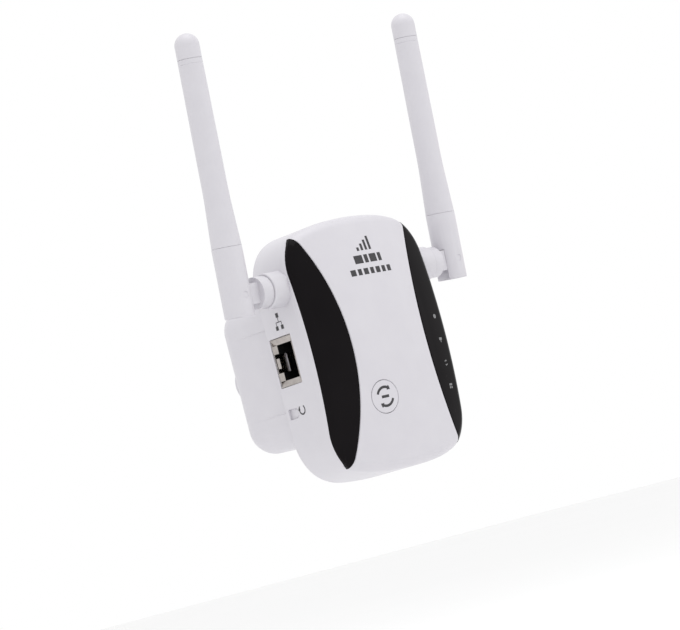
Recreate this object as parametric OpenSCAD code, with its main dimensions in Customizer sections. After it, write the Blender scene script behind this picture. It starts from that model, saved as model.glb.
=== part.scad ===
// Plug-in wifi range extender: a crowned body with two black side panels, a network socket,
// two push buttons, a mains plug block at the back and two folding antennas.
// X runs to the right as seen from the front, Y towards the wall and Z up. The origin is the
// middle of the plug face. Inside the modules, y is counted from the front of the body.

/* [Body] */
// Width of the body at its front
body_w = 61.6; // [61:0.2:62.4]
// Width of the body at its back edge
body_back_w = 57.8; // [57.4:0.2:58.4]
// Height of the body
body_h = 85.2; // [85:0.1:86]
// How far the middle of the body lies above the plug
body_z = 1.4; // [1.2:0.1:1.6]
// Radius of the body's corners seen from the front
corner_r = 15.5; // [15:0.5:16]
// Radius of the rounded edge round the front
edge_r = 3.2; // [2.5:0.1:3.5]
// Depth of the body, from its front to the seam with the plug block
seam_y = 27.4; // [27.3:0.1:27.8]
// Thickness of the walls
wall = 2.4; // [2.2:0.1:2.6]
// Radius of the front's curve from side to side
crown_rx = 96; // [95:1:105]
// Radius of the front's curve from top to bottom
crown_rz = 228; // [225:5:260]

/* [Side panels] */
// Thickness of a side panel
panel_t = 1.4; // [1.2:0.1:1.5]
// White rim between a side panel and the edge of the body
panel_rim = 0.5; // [0.5:0.1:0.7]
// Distance of a panel's inner edge from the middle, at its widest
panel_inner_x = 16.5; // [16:0.1:17]
// Radius of a panel's inner edge
panel_inner_r = 94; // [92:0.5:96]

/* [Plug block] */
// Width of the block behind the body
block_w = 54.4; // [54:0.2:55]
// Height of the block
block_h = 51.2; // [51:0.1:52]
// Distance from the front of the body to the back of the block
block_y = 54.8; // [54.6:0.1:55]
// Height of the raised pad that holds the plug
pad_t = 1.2; // [1:0.1:1.5]
// Length of the plug's blades
blade_l = 17.5; // [16:0.1:18.2]
// Distance between the two blades
blade_gap = 12.7; // [12.7:0.1:12.8]

/* [Antennas] */
// Distance of an antenna's swivel axis from the front of the body
swivel_y = 14; // [14:0.1:14.2]
// Height of the swivel axis above the plug
swivel_z = 24.9; // [24.6:0.1:25.2]
// Distance of an antenna from the middle of the body
antenna_x = 48.7; // [48.6:0.1:49.5]
// Length from an antenna's hinge pin to its tip
antenna_l = 86.1; // [86:0.1:95]
// How far the antennas lean towards the front
antenna_swivel = 5.3; // [0:0.1:20]

/* [Buttons] */
// Diameter of the round front button
wps_d = 10.8; // [10.4:0.1:11]
// Travel of the front button
wps_travel = 0.5; // [0.4:0.1:0.5]
// Travel of the reset button
reset_travel = 0.4; // [0.3:0.1:0.4]

/* [Hidden] */
$fn = 96;
eps = 0.01;

// Colours
shell_white = [0.87, 0.86, 0.88];
panel_black = [0.05, 0.05, 0.055];
board_green = [0.10, 0.32, 0.16];
part_black = [0.12, 0.12, 0.13];
tin = [0.75, 0.74, 0.72];
brass = [0.80, 0.62, 0.28];

// Body
plug_y = block_y + pad_t;
fillet_x = body_w / 2 - edge_r;
fillet_y = crown_rx - sqrt(pow(crown_rx - edge_r, 2) - pow(fillet_x, 2));
end_z = body_h / 2 - edge_r;
end_y = crown_rz - sqrt(pow(crown_rz - edge_r, 2) - pow(end_z, 2));
arch_r = 130;
lid_gap = 0.15;
lid_t = 2;

// Panels
panel_gap = 0.1;
panel_depth = 9;
led_z = [5.6, -2.5, -10.4, -18.3];
led_x = 24.4;

// Screws and posts
screw_spots = [for (x = [-19, 19], z = [34.5, -32.5]) [x, z]];
post_r = 3;
screw_r = 1.3;
screw_l = 9;
head_r = 2.3;
head_t = 1.6;
board_post_r = 2.4;
board_spots = [[4, 28], [15, -26]];
board_screw_r = 1;

// Main board
board_y = 11.6;
board_t = 1.6;
board_back = board_y + board_t;
board_w = 47.2;
board_top = 31;
board_bottom = -29;

// Front button
wps_x = -8.4;
wps_z = -17.3;
wps_gap = 0.15;
flange_y = 4.7;
flange_t = 0.8;
tact_h = 3.6;
stem_end = board_y - tact_h - wps_travel - 0.05;

// Network socket
jack_y = 20.45;
jack_w = 11.7;
jack_h = 16;
jack_z = 2;
jack_face = 28.9;
jack_l = 20.6;
jack_gap = 0.12;
sheet = 0.4;
port_h = 12;
port_y = [17.1, 24.3];
port_depth = 13;
latch_h = 6.2;
latch_y = 25.9;
port_lip = 0.8;

// Reset button
reset_y = 23.2;
reset_z = -15.2;
reset_h = 3.4;
reset_l = 5.4;
reset_stem_r = 1.15;
reset_wall_x = 29.3;
reset_recess = 0.9;
reset_flange = [26.5, 25.9];
reset_back = -24.9;

// Plug block
block_wall = 2;
block_corner_r = 9;
block_side_r = 7.9;
block_end_r = 9.3;
grip_z = [-14.2, 14.1];
grip_y = 46;
grip_t = 0.35;
pad_w = 45.5;
pad_h = 13.4;
pad_r = 6.6;
seat_y = 52.7;
seat_t = 2;
core_w = 38;
core_h = 12;
core_r = 5;
blade_t = 1.5;
blade_h = 6.35;
blade_in = 9;
blade_hole_r = 1.55;
blade_hole_y = 11.9;
power_y = 33;

// Antennas
boss_r = 5.9;
boss_end = 36.7;
shaft_r = 3.05;
shaft_clear = 0.05;
shaft_in = 24.6;
collar_r = 5.25;
collar_gap = 0.15;
collar_back = 7.65;
tongue_t = 5.4;
ear_gap = 5.6;
eye_r = 3.4;
pin_r = 1.1;
pin_l = 9.6;
foot_r = 5;
foot_drop = 6.8;
foot_top = 16;
foot_turn_r = 7.45;
clip_x = 26.1;
clip_t = 0.8;
clip_r = 3.9;
clip_seat_r = 2.5;
sleeve_mid_z = 33;
sleeve_mid_r = 4.25;
sleeve_top_r = 4.05;
cap_l = 8.5;
cap_groove = 10.2;
lead_r = 0.6;
lead_bore_r = 1;

// Everything in the modules is drawn from the front of the body and moved to the plug here.
module placed() { translate([0, -plug_y, 0]) children(); }

// Extrusions of an outline along X, drawn as (y, z), and along Y, drawn as (x, z)
module along_x(from, to) {
    translate([from, 0, 0]) rotate([90, 0, 90]) linear_extrude(to - from) children();
}
module along_y(from, to) {
    translate([0, to, 0]) rotate([90, 0, 0]) linear_extrude(to - from) children();
}

// Round bars along each axis
module x_rod(r, from, to) { translate([from, 0, 0]) rotate([0, 90, 0]) cylinder(r = r, h = to - from); }
module y_rod(r, from, to) { translate([0, from, 0]) rotate([-90, 0, 0]) cylinder(r = r, h = to - from); }
module z_rod(r, from, to) { translate([0, 0, from]) cylinder(r = r, h = to - from); }

// Box between two opposite corners
module block(low, high) { translate(low) cube(high - low); }

// Rectangle with round corners, in the middle of its plane
module round_rect(w, h, r) {
    square([w - 2 * r, h], center = true);
    square([w, h - 2 * r], center = true);
    for (x = [-1, 1], y = [-1, 1])
        translate([x * (w / 2 - r), y * (h / 2 - r)]) circle(r = r);
}

// Points of an arc, from one angle to another
function arc(x, y, r, from, to, steps = 6) =
    [for (i = [0:steps]) let (a = from + (to - from) * i / steps) [x + r * cos(a), y + r * sin(a)]];

// Outline of the body from the front, with gently arched top and bottom edges
module outline(inset = 0) {
    translate([0, body_z]) intersection() {
        round_rect(body_w - 2 * inset, body_h - 2 * inset, corner_r - inset);
        translate([0, body_h / 2 - arch_r]) circle(r = arch_r - inset, $fn = 240);
        translate([0, arch_r - body_h / 2]) circle(r = arch_r - inset, $fn = 240);
    }
}

// Curved front of the body: a barrel whose two radii are those of the crown
module crown(inset = 0) {
    translate([0, crown_rx, body_z]) rotate_extrude($fn = 240) intersection() {
        translate([crown_rx - crown_rz, 0]) circle(r = crown_rz - inset, $fn = 720);
        translate([crown_rx - 60, -body_h]) square([80, 2 * body_h]);
    }
}

// Section through the body: rounded front edges and sides that run to the back. The second
// half is the first one mirrored, in the opposite order.
function half_section(edge_x, edge_y, back_x, inset) = concat(
    [[0, -5 + inset]],
    arc(edge_x, edge_y, edge_r - inset, -70, 0),
    [[back_x - inset, seam_y]]);
function section(edge_x, edge_y, back_x, inset) =
    let (half = half_section(edge_x, edge_y, back_x, inset))
    concat(half, [for (i = [len(half) - 1:-1:1]) [-half[i][0], half[i][1]]]);

// Section from above, extruded upwards, and section from the side, extruded sideways
module side_taper(inset = 0) {
    translate([0, 0, -body_h]) linear_extrude(2 * body_h)
        polygon(section(fillet_x, fillet_y, body_back_w / 2, inset));
}
module end_taper(inset = 0) {
    translate([0, 0, body_z]) along_x(-body_w, body_w)
        polygon([for (p = section(end_z, end_y, body_h / 2, inset)) [p[1], p[0]]]);
}

// The body's outer form, or the same form with its skin taken off
module body_form(inset = 0) {
    intersection() {
        along_y(-5, seam_y) outline(inset);
        crown(inset);
        side_taper(inset);
        end_taper(inset);
    }
}

// Outline of a side panel: the body's rounded side, cut off by a wide arc
module panel_outline(side, grow = 0) {
    mirror([side < 0 ? 1 : 0, 0]) intersection() {
        outline(panel_rim - grow);
        translate([panel_inner_x + panel_inner_r, body_z]) circle(r = panel_inner_r + grow, $fn = 360);
        translate([0, -body_h]) square([body_w, 2 * body_h]);
    }
}
module side_panel(side) {
    color(panel_black) placed() difference() {
        intersection() {
            along_y(-5, panel_depth) panel_outline(side);
            body_form();
        }
        translate([0, panel_t, 0]) body_form();
    }
}
module left_panel() { side_panel(-1); }
module right_panel() { side_panel(1); }

// Moves its children to a side of the body, mirrored on the left one
module on_side(side) { mirror([side < 0 ? 1 : 0, 0, 0]) children(); }

// Moves its children to an antenna's swivel axis
module at_swivel(side) { on_side(side) translate([0, swivel_y, swivel_z]) children(); }

// Places for the housing screws and the board screws
module at_screws() { for (spot = screw_spots) translate([spot[0], 0, spot[1]]) children(); }
module at_board_screws() { for (spot = board_spots) translate([spot[0], 0, spot[1]]) children(); }

// Outline of the reset opening, drawn as (y, z): round towards the front, flat towards the back
module reset_outline() {
    translate([reset_y - reset_l / 2 + reset_h / 2, reset_z]) {
        circle(d = reset_h);
        translate([0, -reset_h / 2]) square([reset_l - reset_h / 2, reset_h]);
    }
}

// Room that the network socket takes up in the shells
module jack_space(gap) {
    block([-body_w, jack_y - jack_w / 2 - gap, jack_z - jack_h / 2 - gap],
          [-jack_face + 5, jack_y + jack_w / 2 + gap, jack_z + jack_h / 2 + gap]);
}

module front_shell() {
    color(shell_white) placed() difference() {
        union() {
            difference() {
                body_form();
                intersection() {
                    body_form(wall);
                    block([-body_w, 0, -body_h], [body_w, seam_y - lid_t - 1, body_h]);
                }
                translate([0, 1, 0]) intersection() {
                    body_form(wall);
                    block([-body_w, seam_y - lid_t - 2, -body_h], [body_w, seam_y + 1, body_h]);
                }
            }
            for (side = [-1, 1]) at_swivel(side) x_rod(boss_r, body_w / 2 - wall, boss_end);
            intersection() {
                body_form(eps);
                union() {
                    at_screws() y_rod(post_r, 3, seam_y - lid_t - lid_gap);
                    at_board_screws() y_rod(board_post_r, 1, board_y);
                }
            }
        }
        for (side = [-1, 1]) {
            difference() {
                along_y(-5, panel_depth) panel_outline(side, panel_gap);
                translate([0, panel_t + panel_gap, 0]) body_form();
            }
            at_swivel(side) x_rod(shaft_r + shaft_clear, shaft_in, boss_end + 1);
        }
        translate([wps_x, 0, wps_z]) y_rod(wps_d / 2 + wps_gap, -1, flange_y);
        at_screws() y_rod(screw_r, seam_y - lid_t - screw_l, seam_y);
        at_board_screws() y_rod(board_screw_r, board_y - 6, board_y + 1);
        for (z = led_z) translate([led_x, 0, z]) y_rod(1.1, 2, 9);
        jack_space(jack_gap);
        along_x(-body_w, -reset_wall_x + reset_recess) reset_outline();
        along_x(-body_w, -reset_wall_x + 5) reset_stem_outline(0.12);
    }
}

// Outline of the reset button, drawn as (y, z)
module reset_stem_outline(grow = 0) {
    translate([reset_y - reset_l / 2 + reset_h / 2, reset_z]) circle(r = reset_stem_r + grow);
}

// Outer form of the block behind the body
module block_form(inset = 0) {
    intersection() {
        along_y(seam_y - 10, block_y - inset)
            round_rect(block_w - 2 * inset, block_h - 2 * inset, block_corner_r);
        translate([0, 0, -body_h]) linear_extrude(2 * body_h) translate([0, block_y / 2])
            round_rect(block_w - 2 * inset, block_y - 2 * inset, block_side_r - inset / 2);
        along_x(-body_w, body_w) translate([block_y / 2, 0])
            round_rect(block_y - 2 * inset, block_h - 2 * inset, block_end_r - inset / 2);
    }
}

module rear_housing() {
    color(shell_white) placed() difference() {
        union() {
            intersection() {
                body_form(wall + lid_gap);
                block([-body_w, seam_y - lid_t, -body_h], [body_w, seam_y, body_h]);
            }
            intersection() {
                block_form();
                block([-body_w, seam_y, -body_h], [body_w, block_y, body_h]);
            }
        }
        difference() {
            block_form(block_wall);
            block([-body_w, 0, -body_h], [body_w, seam_y - lid_t - 1, body_h]);
            block([-block_w, seat_y - seat_t, -pad_h / 2 - 2], [block_w, plug_y, pad_h / 2 + 2]);
        }
        for (side = [-1, 1]) on_side(side)
            block([block_w / 2 - grip_t, seam_y + 0.5, grip_z[0]], [block_w, grip_y, grip_z[1]]);
        jack_space(2 * jack_gap);
        along_y(seat_y, plug_y) round_rect(pad_w + 0.1, pad_h + 0.1, pad_r);
        along_y(block_y / 2, plug_y) round_rect(core_w + 0.2, core_h + 0.2, core_r);
        at_screws() y_rod(screw_r + 0.2, seam_y - lid_t - 1, seam_y + 1);
    }
}

module plug_carrier() {
    color(shell_white) placed() difference() {
        union() {
            along_y(seat_y, plug_y) round_rect(pad_w, pad_h, pad_r);
            along_y(seat_y - seat_t - 1, seat_y + eps) round_rect(core_w, core_h, core_r);
            along_y(seat_y - seat_t - 2.1, seat_y - seat_t - 0.1) round_rect(core_w + 4, core_h + 4, core_r);
        }
        for (x = [-1, 1]) translate([x * blade_gap / 2, plug_y, 0])
            cube([blade_t + 0.06, 20, blade_h + 0.06], center = true);
    }
}

// Two flat blades with chamfered tips and a round hole through each
module mains_blades() {
    color(tin) placed() for (x = [-1, 1])
        translate([x * blade_gap / 2 - blade_t / 2, plug_y, 0]) difference() {
            along_x(0, blade_t) polygon([
                [-blade_in, -blade_h / 2], [blade_l - 1.5, -blade_h / 2], [blade_l, -blade_h / 2 + 1.5],
                [blade_l, blade_h / 2 - 1.5], [blade_l - 1.5, blade_h / 2], [-blade_in, blade_h / 2]]);
            translate([0, blade_hole_y, 0]) x_rod(blade_hole_r, -1, blade_t + 1);
        }
}

// Wires from the blades to the power board
module mains_wires() {
    color([0.55, 0.1, 0.1]) placed() for (x = [-1, 1])
        translate([x * blade_gap / 2, 0, 0]) y_rod(0.7, power_y + board_t, plug_y - blade_in);
}

module rating_label() {
    color([0.93, 0.93, 0.92]) placed()
        along_y(seam_y, seam_y + 0.15) translate([0, 33.5]) round_rect(26, 10, 1.5);
}

// Pan-head screws, driven in from the back
module screw(r, length, head) {
    difference() {
        union() {
            y_rod(r, -length, eps);
            y_rod(head, 0, head_t);
        }
        for (a = [0, 90]) rotate([0, a, 0])
            translate([0, head_t, 0]) cube([head * 1.3, 1.4, 0.5], center = true);
    }
}
module housing_screws() {
    color(tin) placed() at_screws() translate([0, seam_y, 0]) screw(screw_r - 0.02, screw_l, head_r);
}
module board_screws() {
    color(tin) placed() at_board_screws() translate([0, board_back, 0]) screw(0.98, 6, 1.9);
}

module main_board() {
    color(board_green) placed() difference() {
        block([-board_w / 2, board_y, board_bottom], [board_w / 2, board_back, board_top]);
        at_board_screws() y_rod(board_screw_r + 0.1, board_y - 1, board_back + 1);
    }
}

// Chips on the front of the main board
module front_chip(x, z, w, h, t) {
    placed() block([x - w / 2, board_y - t, z - h / 2], [x + w / 2, board_y, z + h / 2]);
}
module processor() { color(part_black) front_chip(4, 6, 12, 12, 1); }
module memory_chip() { color(part_black) front_chip(-13, 12, 5.3, 5.3, 1.8); }
module crystal() { color(tin) front_chip(-10, -1, 5, 3.2, 1); }

// Tinned cover over the radio parts, open towards the board
module shield_can() {
    color(tin) placed() difference() {
        block([-8, board_y - 2.4, 14], [12, board_y, 24]);
        block([-8 + sheet, board_y - 2.4 + sheet, 14 + sheet], [12 - sheet, board_y + 1, 24 - sheet]);
    }
}

// Square push switch with a round plunger on its front
module wps_switch() {
    color(part_black) placed() translate([wps_x, 0, wps_z]) union() {
        block([-3, board_y - 2.6, -3], [3, board_y, 3]);
        y_rod(1.6, board_y - tact_h, board_y - 2.5);
    }
}

// Push switch lying behind the board's left edge, with its plunger towards the side wall
module reset_switch() {
    color(part_black) placed() translate([0, 0, reset_z]) union() {
        block([-board_w / 2, board_back, -2.2], [-board_w / 2 + 3.4, reset_y + 1.6, 2.2]);
        translate([0, reset_y - 1, 0]) x_rod(0.9, -board_w / 2 - 0.8, -board_w / 2 + 1);
    }
}

module status_leds() {
    color([0.8, 0.9, 0.8]) placed() for (z = led_z)
        block([20.6, board_y - 0.8, z - 0.8], [23.2, board_y, z + 0.8]);
}

// Clear bar that carries the light of the four lamps to the right panel
module light_guide() {
    color([0.85, 0.92, 0.95]) placed() union() {
        block([22, 8.4, led_z[3] - 1.5], [led_x + 1, 9.6, led_z[0] + 1.5]);
        for (z = led_z) {
            translate([led_x, 0, z]) y_rod(1, 6, 9);
            block([21.2, 9.5, z - 0.7], [22.8, board_y - 0.9, z + 0.7]);
            block([21.2, 8.4, z - 0.7], [22.8, 9.6, z + 0.7]);
        }
    }
}

// Small sockets on the board that take the antenna leads
module antenna_connectors() {
    color(brass) placed() for (side = [-1, 1]) at_swivel(side)
        block([15, board_back - swivel_y, -1.5], [18.5, 1.2, 1.5]);
}

// Thin coaxial lead from its connector, through the hollow swivel
module lead(side) {
    color([0.5, 0.5, 0.52]) placed() at_swivel(side) x_rod(lead_r, 18.5, antenna_x - 5);
}
module left_lead() { lead(-1); }
module right_lead() { lead(1); }

// Outline of the socket's mouth, drawn as (y, z): the port and its latch notch
module port_outline(grow = 0) {
    translate([port_y[0] - grow, -port_h / 2 - grow])
        square([port_y[1] - port_y[0] + 2 * grow, port_h + 2 * grow]);
    translate([port_y[1] - 1, -latch_h / 2 - grow]) square([latch_y - port_y[1] + 1 + grow, latch_h + 2 * grow]);
}

// Folded sheet round the socket, with lips that lean into the mouth
module lan_jack_shield() {
    color(tin) placed() translate([-jack_face, 0, jack_z]) difference() {
        block([0, jack_y - jack_w / 2, -jack_h / 2], [jack_l, jack_y + jack_w / 2, jack_h / 2]);
        block([port_lip, jack_y - jack_w / 2 + sheet, -jack_h / 2 + sheet],
              [jack_l + 1, jack_y + jack_w / 2 - sheet, jack_h / 2 - sheet]);
        along_x(-1, jack_l) port_outline(0.1);
    }
}

module lan_jack_insert() {
    color(part_black) placed() translate([-jack_face, 0, jack_z]) difference() {
        block([port_lip + 0.05, jack_y - jack_w / 2 + sheet + 0.05, -jack_h / 2 + sheet + 0.05],
              [jack_l - 0.5, jack_y + jack_w / 2 - sheet - 0.05, jack_h / 2 - sheet - 0.05]);
        along_x(-1, port_depth) port_outline();
    }
}

// Eight sprung contacts that lean into the port from its front wall
module lan_jack_contacts() {
    color(brass) placed() for (i = [0:7])
        translate([-jack_face, port_y[0], jack_z + (i - 3.5) * 1.02]) rotate([0, 0, 8])
            block([4.5, 0.05, -0.2], [12, 0.4, 0.2]);
}

module lan_transformer() {
    color(part_black) placed() block([-4.5, board_back, -5.5], [4.5, board_back + 5.6, 9.5]);
}

// Three wires between the power board and the main board
module link_wires() {
    color([0.6, 0.12, 0.1]) placed() for (i = [-1:1])
        translate([18 + 2 * i, 0, -20]) y_rod(0.6, board_back, power_y);
}

module power_board() {
    color([0.75, 0.62, 0.35]) placed()
        along_y(power_y, power_y + board_t) translate([0, -1]) round_rect(46, 41, 5);
}

// Parts that stand on the power board, towards the wall
module on_power_board(x, z) { placed() translate([x, power_y + board_t, z]) children(); }
module power_transformer() {
    color([0.75, 0.68, 0.25]) on_power_board(-12.5, -13) union() {
        block([-7, 0, -4.5], [7, 11, 4.5]);
        block([-8.5, 1.5, -2.5], [8.5, 12.5, 2.5]);
        y_rod(5.8, 1.5, 11.5);
    }
}
module mains_capacitors() { color(part_black) for (x = [9, 18.5]) on_power_board(x, -13.5) y_rod(4, 0, 12); }
module output_capacitors() { color(part_black) for (x = [-17, -9]) on_power_board(x, 10) y_rod(3.15, 0, 11); }
module bridge_rectifier() { color(part_black) on_power_board(17, -3) block([-2.5, 0, -3], [2.5, 2.6, 3]); }
module fusible_resistor() {
    color([0.55, 0.75, 0.72]) on_power_board(16, 9) translate([0, 2, 0]) x_rod(1.9, -5, 5);
}
module filter_coil() { color([0.5, 0.3, 0.15]) on_power_board(2.5, 11) y_rod(3.4, 0, 8); }
module optocoupler() { color(part_black) on_power_board(-16.5, -1.5) block([-3, 0, -2.3], [3, 3.4, 2.3]); }

module wps_button() {
    color(shell_white) placed() union() {
        intersection() {
            body_form();
            translate([wps_x, 0, wps_z]) y_rod(wps_d / 2, -1, flange_y + 0.2);
        }
        translate([wps_x, 0, wps_z]) y_rod(wps_d / 2 + 1, flange_y, flange_y + flange_t);
        translate([wps_x, 0, wps_z]) y_rod(1.5, flange_y, stem_end);
    }
}

module reset_button() {
    color(shell_white) placed() union() {
        along_x(-reset_wall_x + reset_recess - reset_travel, reset_back) reset_stem_outline();
        block([-reset_flange[0], reset_y - 3, reset_z - 1.9], [-reset_flange[1], reset_y + 1.2, reset_z + 1.9]);
    }
}

// One antenna's frame: it leans about the swivel axis, and z is counted from that axis
module at_antenna(side) { at_swivel(side) rotate([antenna_swivel, 0, 0]) children(); }

// Hollow shaft, collar, and the flat tongue with the eye that the hinge pin passes through
module swivel(side) {
    collar_end = antenna_x - collar_back;
    color(shell_white) placed() at_antenna(side) difference() {
        union() {
            x_rod(shaft_r, shaft_in, boss_end + 1);
            x_rod(collar_r, boss_end + collar_gap, collar_end);
            block([collar_end - 1, -tongue_t / 2, -eye_r], [antenna_x, tongue_t / 2, eye_r]);
            translate([antenna_x, 0, 0]) y_rod(eye_r, -tongue_t / 2, tongue_t / 2);
        }
        x_rod(lead_bore_r, shaft_in - 1, antenna_x - 4);
        translate([antenna_x, 0, 0]) y_rod(pin_r + shaft_clear, -tongue_t, tongue_t);
        difference() {
            x_rod(shaft_r + 1, clip_x - 0.1, clip_x + clip_t + 0.1);
            x_rod(clip_seat_r, clip_x - 1, clip_x + clip_t + 1);
        }
    }
}
module left_swivel() { swivel(-1); }
module right_swivel() { swivel(1); }

// Ring that keeps the shaft from pulling out of the body
module swivel_clip(side) {
    color(tin) placed() at_antenna(side) difference() {
        x_rod(clip_r, clip_x, clip_x + clip_t);
        x_rod(clip_seat_r + shaft_clear, clip_x - 1, clip_x + clip_t + 1);
    }
}
module left_swivel_clip() { swivel_clip(-1); }
module right_swivel_clip() { swivel_clip(1); }

module hinge_pin(side) {
    color(tin) placed() at_antenna(side) translate([antenna_x, 0, 0]) y_rod(pin_r, -pin_l / 2, pin_l / 2);
}
module left_hinge_pin() { hinge_pin(-1); }
module right_hinge_pin() { hinge_pin(1); }

// Outline of the slot in an antenna's foot, drawn as (x, z) from the pin: it leaves room for
// the tongue as the antenna folds from upright to level
module fork_slot() {
    clear = 0.2;
    far = foot_drop + 1;
    circle(r = eye_r + clear);
    translate([-far, -far]) square([far, far + eye_r + clear]);
    translate([-eps, -far]) square([eye_r + clear + eps, far]);
}

module antenna_base(side) {
    color(shell_white) placed() at_antenna(side) translate([antenna_x, 0, 0]) difference() {
        z_rod(foot_r, -foot_drop, foot_top);
        along_y(-ear_gap / 2, ear_gap / 2) fork_slot();
        y_rod(pin_r + 0.02, -foot_r - 1, foot_r + 1);
        z_rod(1.9, eye_r, foot_top + 1);
        along_y(-foot_r - 1, foot_r + 1) difference() {
            translate([-9, -9]) square(9);
            circle(r = foot_turn_r);
        }
    }
}
module left_antenna_base() { antenna_base(-1); }
module right_antenna_base() { antenna_base(1); }

// Tapered tube from the seam over the foot to the cap
module antenna_sleeve(side) {
    top = antenna_l - cap_l;
    groove = antenna_l - cap_groove;
    color(shell_white) placed() at_antenna(side) translate([antenna_x, 0, 0]) rotate_extrude() polygon([
        [3, foot_top + 0.1], [foot_r - 0.1, foot_top + 0.1], [sleeve_mid_r, sleeve_mid_z],
        [sleeve_top_r, groove - 0.15], [sleeve_top_r - 0.2, groove], [sleeve_top_r, groove + 0.15],
        [sleeve_top_r, top - 0.1], [3, top - 0.1]]);
}
module left_antenna_sleeve() { antenna_sleeve(-1); }
module right_antenna_sleeve() { antenna_sleeve(1); }

// Domed cap whose spigot sits in the tube
module antenna_cap(side) {
    color(shell_white) placed() at_antenna(side) translate([antenna_x, 0, antenna_l - sleeve_top_r]) union() {
        sphere(r = sleeve_top_r);
        z_rod(sleeve_top_r, sleeve_top_r - cap_l, 0);
        z_rod(2.95, sleeve_top_r - cap_l - 4, sleeve_top_r - cap_l + 1);
    }
}
module left_antenna_cap() { antenna_cap(-1); }
module right_antenna_cap() { antenna_cap(1); }

module radiator(side) {
    color(brass) placed() at_antenna(side) translate([antenna_x, 0, 0]) union() {
        z_rod(0.6, 7, 40);
        z_rod(1.5, 20, 45);
        z_rod(0.8, 44, 72);
    }
}
module left_radiator() { radiator(-1); }
module right_radiator() { radiator(1); }

front_shell();
rear_housing();
left_panel();
right_panel();
wps_button();
reset_button();
plug_carrier();
mains_blades();
mains_wires();
rating_label();
housing_screws();
main_board();
board_screws();
processor();
memory_chip();
shield_can();
crystal();
wps_switch();
reset_switch();
status_leds();
light_guide();
antenna_connectors();
left_lead();
right_lead();
lan_jack_shield();
lan_jack_insert();
lan_jack_contacts();
lan_transformer();
link_wires();
power_board();
power_transformer();
mains_capacitors();
output_capacitors();
bridge_rectifier();
fusible_resistor();
filter_coil();
optocoupler();
left_swivel();
left_swivel_clip();
left_hinge_pin();
left_antenna_base();
left_antenna_sleeve();
left_antenna_cap();
left_radiator();
right_swivel();
right_swivel_clip();
right_hinge_pin();
right_antenna_base();
right_antenna_sleeve();
right_antenna_cap();
right_radiator();
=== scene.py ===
import math

import bmesh
import bpy
import numpy as np
from mathutils import Matrix, Vector


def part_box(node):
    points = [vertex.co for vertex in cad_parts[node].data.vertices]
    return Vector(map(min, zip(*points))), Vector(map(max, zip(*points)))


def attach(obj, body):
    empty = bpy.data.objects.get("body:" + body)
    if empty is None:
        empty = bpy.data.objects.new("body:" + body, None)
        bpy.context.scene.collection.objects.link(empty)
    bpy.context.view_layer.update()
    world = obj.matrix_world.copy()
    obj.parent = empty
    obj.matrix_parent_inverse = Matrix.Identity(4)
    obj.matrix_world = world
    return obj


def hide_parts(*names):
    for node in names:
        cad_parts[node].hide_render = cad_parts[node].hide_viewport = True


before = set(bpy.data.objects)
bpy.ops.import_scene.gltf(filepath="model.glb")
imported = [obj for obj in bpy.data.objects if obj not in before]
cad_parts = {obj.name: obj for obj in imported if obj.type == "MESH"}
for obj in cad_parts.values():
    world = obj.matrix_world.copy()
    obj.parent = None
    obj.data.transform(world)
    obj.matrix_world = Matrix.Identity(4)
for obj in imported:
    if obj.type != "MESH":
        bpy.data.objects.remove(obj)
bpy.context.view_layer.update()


# ---- View ----
# A long lens looks at the front and the left side from slightly below the middle of the body,
# and the camera is rolled so that the extender leans to the left in the picture.
view_azimuth, view_elevation = math.radians(-42.57), math.radians(-4.49)
view_roll, view_distance = math.radians(-14.68), 0.960
view_target = Vector((-0.00604, -0.0410, 0.01307))
sensor_width, lens_length = 36.0, 153.8

back = Vector((math.sin(view_azimuth) * math.cos(view_elevation),
               -math.cos(view_azimuth) * math.cos(view_elevation), math.sin(view_elevation)))
level = (-back).cross(Vector((0, 0, 1))).normalized()
upright = level.cross(-back)
right = level * math.cos(view_roll) + upright * math.sin(view_roll)
up = upright * math.cos(view_roll) - level * math.sin(view_roll)
camera_data = bpy.data.cameras.new("camera")
camera_data.sensor_width, camera_data.lens = sensor_width, lens_length
camera_data.clip_start, camera_data.clip_end = 0.01, 20
camera = bpy.data.objects.new("camera", camera_data)
turn = Matrix((right, up, back)).transposed()
camera.matrix_world = Matrix.Translation(view_target + back * view_distance) @ turn.to_4x4()
bpy.context.scene.collection.objects.link(camera)
bpy.context.scene.camera = camera


# ---- White plastic ----
# The shell, the plug block and the antennas are one satin white ABS, moulded in a tool with a
# very fine spark-eroded grain. The grain is a node group that every moulded plastic here uses.
def add_node(tree, kind, **values):
    """A node of that kind, with attributes by their names and input sockets by their labels."""
    node = tree.nodes.new(kind)
    for name, value in values.items():
        if hasattr(node, name):
            setattr(node, name, value)
        else:
            node.inputs[name.replace("_", " ").title()].default_value = value
    return node


def new_group(name, inputs, outputs):
    """An empty shader node group with those sockets, and its two end nodes."""
    tree = bpy.data.node_groups.new(name, "ShaderNodeTree")
    for label, kind, value in inputs:
        socket = tree.interface.new_socket(label, in_out="INPUT", socket_type=kind)
        if value is not None:
            socket.default_value = value
    for label, kind in outputs:
        tree.interface.new_socket(label, in_out="OUTPUT", socket_type=kind)
    return tree, tree.nodes.new("NodeGroupInput"), tree.nodes.new("NodeGroupOutput")


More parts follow.
